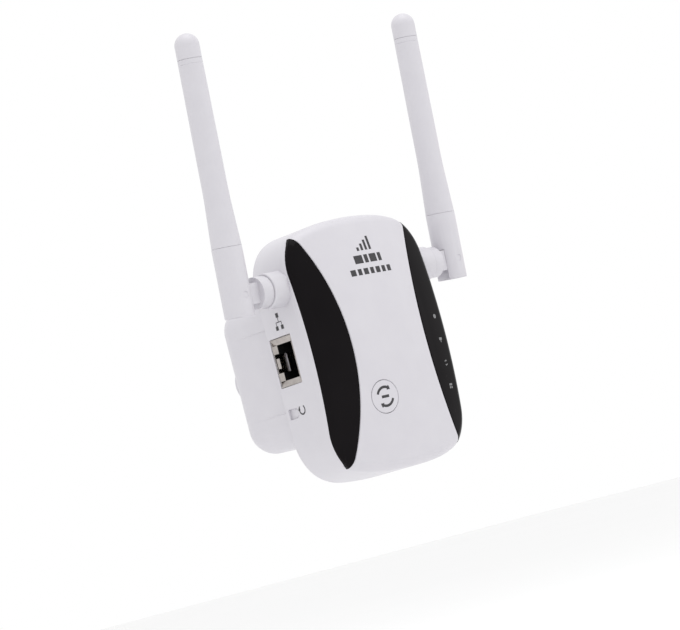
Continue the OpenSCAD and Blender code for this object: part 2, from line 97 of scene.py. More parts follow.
def moulded_grain():
    """Height and tone of moulded plastic: the height is fine noise of one grain's size, and the
    tone is slow noise, forty grains across, that shifts colour and gloss a little."""
    tree, start, end = new_group(
        "moulded_grain",
        [("Vector", "NodeSocketVector", None), ("Grains Per Metre", "NodeSocketFloat", 5000.0)],
        [("Height", "NodeSocketFloat"), ("Tone", "NodeSocketFloat")])
    fine = add_node(tree, "ShaderNodeTexNoise", detail=3.0, roughness=0.6)
    slow_scale = add_node(tree, "ShaderNodeMath", operation="MULTIPLY")
    slow_scale.inputs[1].default_value = 1 / 40
    slow = add_node(tree, "ShaderNodeTexNoise", detail=2.0)
    tree.links.new(start.outputs["Vector"], fine.inputs["Vector"])
    tree.links.new(start.outputs["Vector"], slow.inputs["Vector"])
    tree.links.new(start.outputs["Grains Per Metre"], fine.inputs["Scale"])
    tree.links.new(start.outputs["Grains Per Metre"], slow_scale.inputs[0])
    tree.links.new(slow_scale.outputs[0], slow.inputs["Scale"])
    tree.links.new(fine.outputs[0], end.inputs["Height"])
    tree.links.new(slow.outputs[0], end.inputs["Tone"])
    return tree


grain_group = moulded_grain()


def new_material(name, **constants):
    """A material with its Principled shader and Object coordinates; constants go on its sockets."""
    material = bpy.data.materials.new(name)
    material.use_nodes = True
    tree = material.node_tree
    shader = tree.nodes["Principled BSDF"]
    for label, value in constants.items():
        shader.inputs[label.replace("_", " ")].default_value = value
    place = tree.nodes.new("ShaderNodeTexCoord").outputs["Object"]
    return material, tree, shader, place


def vary(tree, mask, low, high, socket):
    """Feeds a shader socket with a number or a colour that moves from low to high as mask goes
    from a quarter to three quarters."""
    if isinstance(low, tuple):
        blend = tree.nodes.new("ShaderNodeValToRGB")
        blend.color_ramp.elements[0].position, blend.color_ramp.elements[0].color = 0.25, (*low, 1)
        blend.color_ramp.elements[1].position, blend.color_ramp.elements[1].color = 0.75, (*high, 1)
        tree.links.new(mask, blend.inputs[0])
    else:
        blend = tree.nodes.new("ShaderNodeMapRange")
        for label, value in zip(("From Min", "From Max", "To Min", "To Max"), (0.25, 0.75, low, high)):
            blend.inputs[label].default_value = value
        tree.links.new(mask, blend.inputs["Value"])
    tree.links.new(blend.outputs[0], socket)


def raise_surface(tree, shader, height, depth):
    """A bump of that depth, in metres, from a height between 0 and 1."""
    bump = tree.nodes.new("ShaderNodeBump")
    bump.inputs["Strength"].default_value = 0.5
    bump.inputs["Distance"].default_value = depth
    tree.links.new(height, bump.inputs["Height"])
    tree.links.new(bump.outputs["Normal"], shader.inputs["Normal"])


def moulded_plastic(name, low, high, gloss, grains, depth, **constants):
    """Plastic whose colour moves from low to high and whose roughness is near gloss."""
    material, tree, shader, place = new_material(name, **constants)
    grain = tree.nodes.new("ShaderNodeGroup")
    grain.node_tree = grain_group
    grain.inputs["Grains Per Metre"].default_value = grains
    tree.links.new(place, grain.inputs["Vector"])
    vary(tree, grain.outputs["Tone"], low, high, shader.inputs["Base Color"])
    vary(tree, grain.outputs["Tone"], gloss * 0.92, gloss * 1.08, shader.inputs["Roughness"])
    raise_surface(tree, shader, grain.outputs["Height"], depth)
    return material


fine_depth = 0.00001
white_plastic = moulded_plastic("white_plastic", (0.612, 0.597, 0.636), (0.632, 0.618, 0.655),
                                0.38, 6000.0, 0.00002, IOR=1.46)


# ---- Front shell ----
# One moulding with a crowned front, a rounded edge all round and sides that draw in towards the
# back. Two shallow pockets take the black panels, and a hollow boss on each side takes an
# antenna swivel. Lengths are in millimetres and y is counted from the front of the body.
front_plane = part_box("front_shell")[0].y * 1000
half_w, half_h, mid_z = 30.8, 42.6, 1.4
corner_r, edge_r, arch_r = 15.5, 3.2, 130.0
corner_soft, soft_from, soft_over = 1.5, 12.0, 8.0
crown_rx, crown_rz = 96.0, 228.0
seam_y, back_half_w, back_corner_r = 27.4, 28.9, 17.4
side_start_y = 6.5
wall, inner_round, middle_share = 2.4, 1.2, 0.004


def inside(x, z, w, h, r):
    """Distance in from the edge of a rectangle with round corners: the corner radius, less how
    far the point lies past the corner's centre, or plus how far it lies short of it."""
    past_x, past_z = np.abs(x) - (w - r), np.abs(z) - (h - r)
    return r - np.hypot(np.maximum(past_x, 0), np.maximum(past_z, 0)) - np.minimum(
        np.maximum(past_x, past_z), 0)


def crown(x, z):
    """Depth of a barrel: its radius at a height is the one in the middle less the sagitta of the
    upright arc, and the depth is the sagitta of a circle of that radius."""
    radius = crown_rx - crown_rz + np.sqrt(crown_rz ** 2 - (z - mid_z) ** 2)
    return crown_rx - np.sqrt(radius ** 2 - x ** 2)


def quarter_round(distance, r):
    """Drop of a rounded edge: the radius less the root of its square less the square of how far
    the point is short of the radius, and nothing further in."""
    short = np.clip(r - distance, 0, r)
    return r - np.sqrt(r ** 2 - short ** 2)


def soft_least(a, b, x):
    """The lesser of two lengths, rounded off where they cross near the corners: half of their sum
    less the root of their squared difference plus a squared softness, which is nothing in the
    middle and grows to its full value on the way out to the corners."""
    soft = corner_soft * np.clip((np.abs(x) - soft_from) / soft_over, 0, 1)
    return (a + b - np.sqrt((a - b) ** 2 + soft ** 2)) / 2


def from_edge(x, z):
    """Distance in from the body's outline, whose top and bottom are arcs of a wide circle."""
    arch = arch_r - np.hypot(x, np.abs(z - mid_z) + arch_r - half_h)
    return soft_least(inside(x, z - mid_z, half_w, half_h, corner_r), arch, x)


def front(x, z):
    """Depth of the finished front: the crown plus the rounded edge."""
    return crown(x, z) + quarter_round(from_edge(x, z), edge_r)


def round_loop(w, h, r, turn_steps=16, up_steps=34, across_steps=18):
    """Points and outward normals round a rectangle with round corners: an arc about each
    corner's centre, and straight runs between the arcs."""
    angle = np.linspace(0, np.pi / 2, turn_steps + 1)
    points, normals = [], []
    for k, (sx, sz) in enumerate(((1, 1), (-1, 1), (-1, -1), (1, -1))):
        normal = np.stack([np.cos(angle + k * np.pi / 2), np.sin(angle + k * np.pi / 2)], -1)
        arc = np.array([sx * (w - r), sz * (h - r)]) + r * normal
        following = arc[-1] + np.array([[-2 * sx * (w - r), 0], [0, -2 * sz * (h - r)]][k % 2])
        steps = across_steps if k % 2 == 0 else up_steps
        share = np.linspace(0, 1, steps + 1)[1:-1, None]
        points += [arc, arc[-1] + (following - arc[-1]) * share]
        normals += [normal, np.repeat(normal[-1:], steps - 1, 0)]
    return np.concatenate(points), np.concatenate(normals)


def at_depth(xz, y):
    """A loop drawn as (x, z), at one depth or at a depth for each point."""
    return np.stack([xz[:, 0], np.broadcast_to(y, len(xz)), xz[:, 1]], -1)


def at_side(yz, x):
    """A loop drawn as (y, z), at one distance from the middle or at one for each point."""
    return np.stack([np.broadcast_to(x, len(yz)), yz[:, 0], yz[:, 1]], -1)


def grid_faces(rows, columns, around=False):
    """Quads of a grid whose point (i, j) is number i * columns + j. Round a tube, the last
    column meets the first."""
    steps = columns if around else columns - 1
    i, j = np.meshgrid(np.arange(rows - 1), np.arange(steps), indexing="ij")
    k = (j + 1) % columns
    row, above = i * columns, (i + 1) * columns
    quads = np.stack([row + j, row + k, above + k, above + j], -1)
    return quads.reshape(-1, 4)


def loft(loops, ring=False):
    """Closed solid through a row of loops: quads join neighbours, and a flat face closes each
    end, or the last loop joins the first one in a ring."""
    loops = np.asarray(loops, float)
    if ring:
        loops = np.concatenate([loops, loops[:1]])
    rows, columns = loops.shape[:2]
    faces = grid_faces(rows, columns, around=True).tolist()
    if not ring:
        faces += [list(range(columns))[::-1], list(range((rows - 1) * columns, rows * columns))]
    return loops.reshape(-1, 3), faces


def stack(*grids):
    """Closed solid through a stack of grids: the first and the last are its faces, and the rims
    of all of them make its wall."""
    rows, columns = grids[0].shape[:2]
    count = rows * columns
    index = np.arange(count).reshape(rows, columns)
    rim = np.concatenate([index[0, :-1], index[:-1, -1], index[-1, :0:-1], index[:0:-1, 0]])
    points = np.concatenate([g.reshape(-1, 3) for g in grids])
    faces = [grid_faces(rows, columns), grid_faces(rows, columns) + count * (len(grids) - 1)]
    for level in range(len(grids) - 1):
        low, high = rim + level * count, rim + (level + 1) * count
        faces.append(np.stack([low, high, np.roll(high, -1), np.roll(low, -1)], -1))
    return points, np.concatenate(faces).tolist()


def new_piece(name, *solids):
    """An object from closed solids in millimetres. Points that meet are merged, loose points are
    dropped and the faces are turned to point outwards."""
    shape = bmesh.new()
    for points, faces in solids:
        metres = (np.asarray(points, float) + (0, front_plane, 0)) / 1000
        mesh = bpy.data.meshes.new("solid")
        mesh.from_pydata(metres.tolist(), [], faces)
        shape.from_mesh(mesh)
        bpy.data.meshes.remove(mesh)
    bmesh.ops.delete(shape, geom=[v for v in shape.verts if not v.link_faces], context="VERTS")
    bmesh.ops.remove_doubles(shape, verts=shape.verts, dist=1e-7)
    bmesh.ops.recalc_face_normals(shape, faces=shape.faces)
    mesh = bpy.data.meshes.new(name)
    shape.to_mesh(mesh)
    shape.free()
    piece = bpy.data.objects.new(name, mesh)
    bpy.context.scene.collection.objects.link(piece)
    return piece


def combine(piece, tool, how="DIFFERENCE"):
    """Cuts a closed tool shape out of a piece, or joins it on, and removes the tool."""
    step = piece.modifiers.new("combine", "BOOLEAN")
    step.operation, step.solver, step.object = how, "EXACT", tool
    bpy.context.view_layer.update()
    mesh = bpy.data.meshes.new_from_object(piece.evaluated_get(bpy.context.evaluated_depsgraph_get()))
    piece.modifiers.clear()
    piece.data = mesh
    bpy.data.objects.remove(tool)


def finish_piece(piece, body, slot, material, *nodes, crease=32):
    """Gives a piece its material, shades it smooth up to a crease angle, ties it to a body and
    hides the CAD nodes that it stands for. The slot is not used."""
    piece.data.materials.clear()
    piece.data.materials.append(material)
    piece.data.polygons.foreach_set("use_smooth", np.ones(len(piece.data.polygons), bool))
    piece.data.set_sharp_from_angle(angle=math.radians(crease))
    even = piece.modifiers.new("even_shading", "WEIGHTED_NORMAL")
    even.keep_sharp = True
    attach(piece, body)
    if nodes:
        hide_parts(*nodes)
    return piece


def turned(profile, axis, at, columns=96):
    """Loops of a turned shape: each profile entry is a place along the axis and a radius, and
    the loop is a circle of that radius about the axis."""
    angle = np.linspace(0, 2 * np.pi, columns, endpoint=False)
    along, radius = np.asarray(profile, float).T[:, :, None]
    a, b = radius * np.cos(angle), radius * np.sin(angle)
    along = np.broadcast_to(along, a.shape)
    if axis == "x":
        return np.stack([along, at[0] + a, at[1] + b], -1)
    if axis == "y":
        return np.stack([at[0] + a, along, at[1] + b], -1)
    return np.stack([at[0] + a, at[1] + b, along], -1)


def shell_loops(inset, rounding):
    """Loops of the body's form, from the seam forwards and in to the middle of the front: the
    sides run evenly to the narrower outline at the seam, whose corners are wider, and forwards
    they follow a quarter round and then the crown."""
    points, normals = round_loop(half_w - inset, half_h - inset, corner_r - inset)
    narrow = round_loop(back_half_w - inset, half_h - inset, back_corner_r - inset)[0]
    for outline in (points, narrow):
        top = half_h - inset - arch_r + np.sqrt(arch_r ** 2 - outline[:, 0] ** 2)
        outline[:, 1] = np.sign(outline[:, 1]) * soft_least(np.abs(outline[:, 1]), top, outline[:, 0])
    loops = []

    def loop(xz, y):
        loops.append(at_depth(xz + (0, mid_z), y))

    def narrowed(y):
        share = np.clip((y - side_start_y) / (seam_y - side_start_y), 0, 1)[:, None]
        return points + (narrow - points) * share

    edge_y = crown(points[:, 0], points[:, 1] + mid_z) + inset + rounding
    for share in np.linspace(1, 0, 15):
        y = edge_y + (seam_y - edge_y) * share
        loop(narrowed(y), y)
    rim = narrowed(edge_y)
    for turn_angle in np.linspace(0, np.pi / 2, 11)[1:]:
        xz = rim - normals * rounding * (1 - math.cos(turn_angle))
        drop = rounding * (1 - math.sin(turn_angle))
        loop(xz, crown(xz[:, 0], xz[:, 1] + mid_z) + inset + drop)
    flat = rim - normals * rounding
    for share in np.append(np.linspace(1, 0.04, 26)[1:], middle_share):
        xz = flat * share
        loop(xz, crown(xz[:, 0], xz[:, 1] + mid_z) + inset)
    return loops


front_shell = new_piece("front_shell_body", loft(
    shell_loops(wall, inner_round)[::-1] + shell_loops(0, edge_r)))

# Outline of a panel: a rounded rectangle with wider corners than the body's, cut by a wide arc
# on the inner side. Its round corners end it before the body's top and bottom do. The pocket
# flares at the front and runs on past it, so that it cuts cleanly.
panel_half_w, panel_half_h, panel_corner_r = 30.0, 43.4, 17.0
panel_inner_x, panel_inner_r = 16.5, 94.0
panel_t, panel_gap = 1.4, 0.1
flare, flare_depth, clear = 0.28, 0.22, 2.0


def panel_edges(z, grow):
    """Inner and outer edge of a panel at a height above the middle of the body: the inner arc,
    and the side and the corner arcs of the rounded rectangle."""
    inner = panel_inner_x + panel_inner_r - np.sqrt((panel_inner_r + grow) ** 2 - z ** 2)
    w, h, r = panel_half_w + grow, panel_half_h + grow, panel_corner_r + grow
    past = np.clip(np.abs(z) - (h - r), 0, r)
    return inner, w - r + np.sqrt(r ** 2 - past ** 2)


def panel_tip(grow):
    """Height above the middle where a panel's two edges meet, found by halving an interval."""
    low, high = 30.0, 42.0
    for _ in range(40):
        middle = (low + high) / 2
        inner, outer = panel_edges(middle, grow)
        low, high = (middle, high) if inner < outer else (low, middle)
    return low


def panel_grid(side, grow, depth, lip=0.0, rows=97, columns=25):
    """Points over a panel's outline, closer together towards the edges, at a depth below the
    finished front. A lip rounds the surface off towards both edges."""
    z = panel_tip(grow) * np.sin(np.linspace(-np.pi / 2, np.pi / 2, rows))[:, None]
    inner, outer = panel_edges(z, grow)
    width = np.maximum(outer - inner, 0)
    across = (1 - np.cos(np.linspace(0, np.pi, columns))) / 2
    x = inner + width * across
    to_edge = np.minimum(x - inner, outer - x) * np.cos(np.arcsin(np.abs(z) / panel_inner_r))
    y = front(x, z + mid_z) + depth + quarter_round(to_edge, lip if lip else 1e-6)
    return np.stack([side * x, y, np.broadcast_to(z + mid_z, x.shape)], -1)


for side in (-1, 1):
    combine(front_shell, new_piece("pocket", stack(
        panel_grid(side, panel_gap, panel_t + panel_gap), panel_grid(side, panel_gap, flare_depth),
        panel_grid(side, panel_gap + flare, flare_depth - flare),
        panel_grid(side, panel_gap + flare, -clear))))


def side_wall(y):
    """Distance of the side wall from the middle at a depth: it narrows evenly to the seam."""
    return half_w - (half_w - back_half_w) * np.clip((y - side_start_y) / (seam_y - side_start_y), 0, 1)


# Hollow bosses: a turned ring whose root swells into the side wall and stays behind the rim
swivel_y, swivel_z = 14.0, 24.9
boss_r, boss_end, boss_root, boss_round = 5.9, 36.7, 28.7, 0.4
bore_r, bore_start, bore_flare = 3.1, 24.0, 0.25
swell_x, root_swell, root_blend = 29.5, 0.9, 2.9

for side in (-1, 1):
    x = np.concatenate([boss_root + root_blend * np.linspace(0, 1, 12) ** 1.5,
                        np.linspace(boss_root + root_blend, boss_end - boss_round, 6)[1:]])
    swell = quarter_round(x - swell_x, root_swell)
    end_turn = np.linspace(0, np.pi / 2, 6)[1:]
    profile = np.concatenate([
        [(boss_root, bore_r)], np.stack([x, boss_r + swell], -1),
        (boss_end - boss_round, boss_r - boss_round)
        + boss_round * np.stack([np.sin(end_turn), np.cos(end_turn)], -1),
        [(boss_end, bore_r + bore_flare), (boss_end - bore_flare, bore_r)]])
    loops = turned(profile, "x", (swivel_y, swivel_z))
    near_root = np.clip(1 - (loops[:, :, 0] - boss_root) / root_blend, 0, 1)
    loops[:, :, 0] += near_root * (side_wall(loops[:, :, 1]) - side_wall(swivel_y))
    limit = swivel_y - boss_r + 0.9 * near_root ** 2 * (3 - 2 * near_root)
    loops[:, :, 1] = np.maximum(loops[:, :, 1], limit)
    loops[:, :, 0] *= side
    combine(front_shell, new_piece("bore", loft(turned(
        [(side * bore_start, bore_r), (side * (half_w + 1.2), bore_r)], "x", (swivel_y, swivel_z)))))
    combine(front_shell, new_piece("boss", loft(loops, ring=True)), "UNION")


def wall_loop(yz, out):
    """A loop on the left side wall, lifted off it by a distance."""
    return at_side(yz, -side_wall(yz[:, 0]) - out)


# Openings: the round button, the network socket, and the reset button's D-shaped recess
wps_x, wps_z, wps_r, wps_gap = -8.4, -17.3, 5.4, 0.15
jack_y, jack_z, jack_w, jack_h, jack_face, jack_gap = 20.45, 2.0, 11.7, 16.0, 28.9, 0.16
reset_y, reset_z, reset_h, reset_l, reset_depth = 23.2, -15.2, 3.4, 5.4, 0.9


def front_loops(levels, x0, z0):
    """Circles on the front: each level is a radius and a depth below the finished surface."""
    loops = turned([(0, r) for r, _ in levels], "y", (x0, z0))
    depth = np.array([d for _, d in levels])[:, None]
    loops[:, :, 1] = front(loops[:, :, 0], loops[:, :, 2]) + depth
    return loops


def reset_loop(grow):
    """The D-shaped opening as (y, z): a half circle towards the front and a square end."""
    r = reset_h / 2 + grow
    centre = reset_y - reset_l / 2 + reset_h / 2
    angle = np.linspace(np.pi / 2, 3 * np.pi / 2, 25)
    arc = np.stack([centre + r * np.cos(angle), reset_z + r * np.sin(angle)], -1)
    end = centre + reset_l - reset_h / 2 + grow
    return np.concatenate([arc, [(end, reset_z - r), (end, reset_z + r)]])


def jack_outline(grow, r):
    """Points round the socket's face, as (y, z), grown by a distance, with corners of radius r."""
    return round_loop(jack_w / 2 + grow, jack_h / 2 + grow, r, 4, 8, 8)[0] + (jack_y, jack_z)


hole_r, hole_flare, hole_depth = wps_r + wps_gap, 0.18, 6.0
combine(front_shell, new_piece("button_hole", loft(front_loops(
    [(hole_r, hole_depth), (hole_r, 0.16), (hole_r + hole_flare, -0.04), (hole_r + hole_flare, -clear)],
    wps_x, wps_z))))
mouth, flared = jack_outline(jack_gap, 0.3), jack_outline(jack_gap + 0.08, 0.4)
combine(front_shell, new_piece("jack_hole", loft([
    wall_loop(mouth, -hole_depth), wall_loop(mouth, -0.2),
    wall_loop(flared, 0.02), wall_loop(flared, clear)])))
reset_flare = 0.16
combine(front_shell, new_piece("reset_hole", loft([
    wall_loop(reset_loop(-0.05), -reset_depth), wall_loop(reset_loop(0), -0.15),
    wall_loop(reset_loop(reset_flare), 0.02), wall_loop(reset_loop(reset_flare), 1.0)])))
finish_piece(front_shell, "main_body", "shell_plastic", white_plastic, "front_shell")


# ---- Side panels ----
# Two lens-shaped covers of polished black plastic, set flush in the pockets of the shell. They
# are clipped in, and the polish shows as a faint clear reflection with a little waviness.
piano_black, tree, shader, place = new_material("piano_black", IOR=1.40, Specular_IOR_Level=0.07)
wave = add_node(tree, "ShaderNodeTexNoise", scale=60.0, detail=2.0)
tree.links.new(place, wave.inputs["Vector"])
vary(tree, wave.outputs[0], (0.0060, 0.0050, 0.0058), (0.0080, 0.0068, 0.0076),
     shader.inputs["Base Color"])
vary(tree, wave.outputs[0], 0.06, 0.09, shader.inputs["Roughness"])
raise_surface(tree, shader, wave.outputs[0], 0.00004)

for side, name in ((-1, "left_panel"), (1, "right_panel")):
    panel = new_piece(name + "_gloss", stack(
        panel_grid(side, 0, 0, lip=flare, columns=41), panel_grid(side, 0, panel_t, columns=41)))
    finish_piece(panel, "main_body", "panel_black", piano_black, name, crease=50)


# ---- Front button ----
# A round white cap that follows the crown of the front, with a softly rounded rim, a flange
# that stops it behind the wall and a stem that reaches the switch.
flange_y, flange_t, stem_r, stem_end = 4.7, 0.8, 1.5, 7.45
cap_round = 0.2
cap_levels = [(wps_r - cap_round + cap_round * math.cos(a), cap_round - cap_round * math.sin(a))
              for a in np.linspace(0, np.pi / 2, 6)]
cap_levels += [(r, 0.0) for r in (4.6, 3.8, 3.0, 2.2, 1.4, 0.7, 0.05)]
stem = [(stem_end, 0.05), (stem_end, stem_r - cap_round), (stem_end - cap_round, stem_r),
        (flange_y + flange_t, stem_r),
        (flange_y + flange_t, wps_r + 1), (flange_y, wps_r + 1), (flange_y, wps_r)]
button = new_piece("wps_button_cap", loft(np.concatenate([
    turned(stem, "y", (wps_x, wps_z)), front_loops(cap_levels, wps_x, wps_z)])))
finish_piece(button, "front_button", "shell_plastic", white_plastic, "wps_button")


# ---- Printed marks ----
# Pad-printed dark grey ink, a few hundredths of a millimetre thick. The marks are plain shapes:
# rising bars and two rows of dashes on the front, two turning arrows on the button, a small
# network sign by the socket, a turning arrow by the reset button, and four lamp signs.
def speckled(name, low, high, gloss):
    """Printed ink: its colour moves from low to high in fine specks."""
    material, tree, shader, place = new_material(name, Roughness=gloss)
    speck = add_node(tree, "ShaderNodeTexNoise", scale=9000.0, detail=2.0)
    tree.links.new(place, speck.inputs["Vector"])
    vary(tree, speck.outputs[0], low, high, shader.inputs["Base Color"])
    return material


ink = speckled("dark_ink", (0.022, 0.021, 0.024), (0.045, 0.043, 0.047), 0.55)
pale_ink = speckled("pale_ink", (0.16, 0.16, 0.165), (0.24, 0.24, 0.245), 0.5)
ink_t = 0.03


def bar(left, right, low, high, steps=8):
    """A plain bar as a grid of points in its plane."""
    return np.stack(np.meshgrid(np.linspace(left, right, steps), np.linspace(low, high, steps)), -1)


def sector(u, v, r_in, r_out, start, end, steps=28):
    """A piece of a ring about (u, v): radii down one side of the grid and angles along it. The
    radii may be arrays, one for each angle, so that the ring tapers into an arrow head."""
    angle = np.radians(np.linspace(start, end, steps))[:, None]
    r_in, r_out = (np.reshape(np.broadcast_to(r, steps), (steps, 1)) for r in (r_in, r_out))
    radius = r_in + (r_out - r_in) * np.linspace(0, 1, 5)
    return np.stack([u + radius * np.cos(angle), v + radius * np.sin(angle)], -1)


def turning_arrow(u, v, radius, width, start, end, head=24.0, steps=40):
    """A ring sector whose last stretch is an arrow head: its width jumps to twice the line's and
    then falls evenly to nothing at the end."""
    angle = np.linspace(start, end, steps)
    left = np.abs(end - angle) / head
    half = np.where(left < 1, width * 1.15 * left, width / 2)
    return sector(u, v, radius - half, radius + half, start, end, steps)


def print_front(name, shapes, material, slot, body="main_body"):
    """Prints flat shapes on the front: each point gets the depth of the finished surface."""
    solids = []
    for shape in shapes:
        x, z = shape[..., 0], shape[..., 1]
        solids.append(stack(*(np.stack([x, front(x, z) + depth, z], -1) for depth in (-ink_t, ink_t))))
    finish_piece(new_piece(name, *solids), body, slot, material)


def print_side(name, shapes):
    """Prints flat shapes, drawn as (y, z), on the left side wall."""
    solids = []
    for shape in shapes:
        y, z = shape[..., 0], shape[..., 1]
        solids.append(stack(*(np.stack([-side_wall(y) - out, y, z], -1) for out in (ink_t, -ink_t))))
    finish_piece(new_piece(name, *solids), "main_body", "black_plastic", ink)


def dashes(left, base, height, widths, gap):
    """A row of bars from the left, with those widths and equal gaps."""
    start = left + np.concatenate([[0], np.cumsum(np.array(widths) + gap)[:-1]])
    return [bar(a, a + w, base, base + height) for a, w in zip(start, widths)]


bars = [bar(-3.3 + 1.8 * k, -2.3 + 1.8 * k, 31.4, 32.6 + 1.15 * k) for k in range(4)]
print_front("front_mark", bars + dashes(-5.8, 27.1, 2.8, (3.6, 1.6, 3.1, 1.5), 0.75)
            + dashes(-9.0, 23.2, 2.1, (2.2, 1.6, 2.0, 1.6, 1.9, 1.6, 1.7), 0.9), ink, "black_plastic")
print_front("button_mark", [turning_arrow(wps_x, wps_z, 3.1, 0.85, 160, 40),
                            turning_arrow(wps_x, wps_z, 3.1, 0.85, 340, 220),
                            bar(wps_x - 1.5, wps_x + 1.5, wps_z - 0.45, wps_z + 0.45)],
            ink, "black_plastic", body="front_button")

link_y, link_z, line_w, box_w = 18.8, 15.0, 0.28, 1.45


def link_bar(left, right, low, high):
    """A bar of the network sign, counted from the sign's middle."""
    return bar(link_y + left, link_y + right, link_z + low, link_z + high)


link_sign = [link_bar(-0.75, 0.75, 1.4, 2.9), link_bar(-line_w / 2, line_w / 2, 0, 1.4),
             link_bar(-1.6, 1.6, -line_w, 0)]
link_sign += [link_bar(left, left + line_w, -1.3, -line_w) for left in (-1.6, 1.6 - line_w)]
link_sign += [link_bar(left, left + box_w, -2.7, -1.3) for left in (-0.75 - box_w, 0.75)]
print_side("socket_mark", link_sign)
print_side("reset_mark", [turning_arrow(18.3, -14.7, 1.5, 0.5, 130, 420, head=60)])

lamp_x, lamp_z = 24.5, (5.6, -2.5, -10.4, -18.3)
lamp_signs = [sector(lamp_x, lamp_z[0], 0.02, 0.75, 0, 360)]
lamp_signs += [bar(lamp_x - half, lamp_x + half, lamp_z[1] + low, lamp_z[1] + high)
               for half, low, high in ((0.75, -0.1, 0.75), (0.2, -0.9, -0.1))]
lamp_signs += [turning_arrow(lamp_x, lamp_z[2], 0.75, 0.3, start, start - 110, head=45)
               for start in (150, 330)]
lamp_signs += [bar(lamp_x + left, lamp_x + right, lamp_z[3] + low, lamp_z[3] + high)
               for left, right, low, high in ((-0.8, 0.8, 0.15, 0.85), (-0.8, -0.15, -0.8, -0.1),
                                              (0.15, 0.8, -0.8, -0.1))]
print_front("lamp_marks", lamp_signs, pale_ink, "lamp")


# ---- Network socket ----
# A nickel-plated sheet shield round a black insert. Five folded lips lean into the mouth and
# meet in mitres at the corners, and a spring tongue stands in the latch notch. The insert and
# its eight gold contacts are the frame's own parts.
def fine_scratches():
    """Brushed metal: noise stretched fifty times along one axis, as a height and a mask."""
    tree, start, end = new_group(
        "fine_scratches",
        [("Vector", "NodeSocketVector", None), ("Lines Per Metre", "NodeSocketFloat", 6000.0)],
        [("Height", "NodeSocketFloat"), ("Wear", "NodeSocketFloat")])
    stretch = add_node(tree, "ShaderNodeVectorMath", operation="MULTIPLY")
    stretch.inputs[1].default_value = (1.0, 0.02, 1.0)
    lines = add_node(tree, "ShaderNodeTexNoise", detail=2.0)
    cloud = add_node(tree, "ShaderNodeTexNoise", scale=350.0, detail=3.0)
    tree.links.new(start.outputs["Vector"], stretch.inputs[0])
    tree.links.new(stretch.outputs[0], lines.inputs["Vector"])
    tree.links.new(start.outputs["Lines Per Metre"], lines.inputs["Scale"])
    tree.links.new(start.outputs["Vector"], cloud.inputs["Vector"])
    tree.links.new(lines.outputs[0], end.inputs["Height"])
    tree.links.new(cloud.outputs[0], end.inputs["Wear"])
    return tree


scratch_group = fine_scratches()


def metal(name, low, high, gloss, lines=6000.0, depth=0.000006):
    """Plated or brushed metal whose colour and gloss drift with wear, under fine lines."""
    material, tree, shader, place = new_material(name, Metallic=1.0)
    marks = tree.nodes.new("ShaderNodeGroup")
    marks.node_tree = scratch_group
    marks.inputs["Lines Per Metre"].default_value = lines
    tree.links.new(place, marks.inputs["Vector"])
    vary(tree, marks.outputs["Wear"], low, high, shader.inputs["Base Color"])
    vary(tree, marks.outputs["Wear"], gloss * 0.8, gloss * 1.2, shader.inputs["Roughness"])
    raise_surface(tree, shader, marks.outputs["Height"], depth)
    return material


nickel = metal("nickel_sheet", (0.36, 0.33, 0.315), (0.50, 0.465, 0.445), 0.26)
blade_metal = metal("plated_blade", (0.60, 0.585, 0.56), (0.72, 0.70, 0.675), 0.26)
steel = metal("zinc_steel", (0.50, 0.50, 0.52), (0.62, 0.62, 0.63), 0.32)
gold = metal("gold_plate", (0.78, 0.55, 0.22), (0.88, 0.66, 0.30), 0.22)
black_nylon = moulded_plastic("black_nylon", (0.005, 0.005, 0.0055), (0.008, 0.008, 0.0085),
                              0.55, 7000.0, fine_depth, Specular_IOR_Level=0.2)

port_half_h, port_front, port_back = 6.0, 17.1, 24.3
latch_half, latch_end = 3.1, 25.9
sheet_t, lip_depth, mitre = 0.25, 0.8, 0.06


def folded_lip(outer_start, outer_end, inner_start, inner_end):
    """A folded lip: a flat sheet from its outer edge, at the face, to its inner edge, further in,
    with a small roll at the fold. Its corners are given as (y, z)."""
    along = np.linspace(0, 1, 6)[:, None]
    outer = np.array(outer_start) + (np.array(outer_end) - outer_start) * along
    inner = np.array(inner_start) + (np.array(inner_end) - inner_start) * along
    across = np.array([0, 0.04, 0.1, 0.2, 0.5, 0.8, 0.95, 1.0])
    yz = outer[:, None] + (inner - outer)[:, None] * across[:, None] + (0, jack_z)
    into = lip_depth * across + 0.12 * np.clip(1 - across / 0.2, 0, 1) ** 2
    x = np.broadcast_to(-jack_face + into, yz.shape[:2])
    face = np.stack([x, yz[..., 0], yz[..., 1]], -1)
    return stack(face, face + (sheet_t, 0, 0))


far_h, near_y, far_y = jack_h / 2, jack_y - jack_w / 2, jack_y + jack_w / 2
mouth_h, latch_h = port_half_h - mitre, latch_half + 0.1
lips = [folded_lip((near_y, far_h - mitre), (near_y, -far_h + mitre),
                   (port_front, mouth_h), (port_front, -mouth_h))]
for end in (1, -1):
    lips.append(folded_lip((near_y + mitre, end * far_h), (far_y, end * far_h),
                           (port_front + mitre, end * port_half_h), (far_y - 0.1, end * port_half_h)))
for end in (-1, 1):
    lips.append(folded_lip((far_y, end * mouth_h), (far_y, end * latch_h),
                           (port_back, end * mouth_h), (port_back, end * latch_h)))
box_low, box_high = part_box("lan_jack_shield")
tube_front, tube_back = box_low.x * 1000 + sheet_t, box_high.x * 1000
outer_wall, inner_wall = jack_outline(0, 0.3), jack_outline(-0.3, 0.1)
tube = [at_side(outer_wall, tube_front), at_side(outer_wall, tube_back),
        at_side(inner_wall, tube_back), at_side(inner_wall, tube_front)]
tongue_t, tongue_y = 0.3, np.linspace(port_back + 0.5, latch_end - 0.15, 6)
tongue = np.stack(np.meshgrid(tongue_y, jack_z + np.linspace(-1.7, 1.7, 6), indexing="ij"), -1)
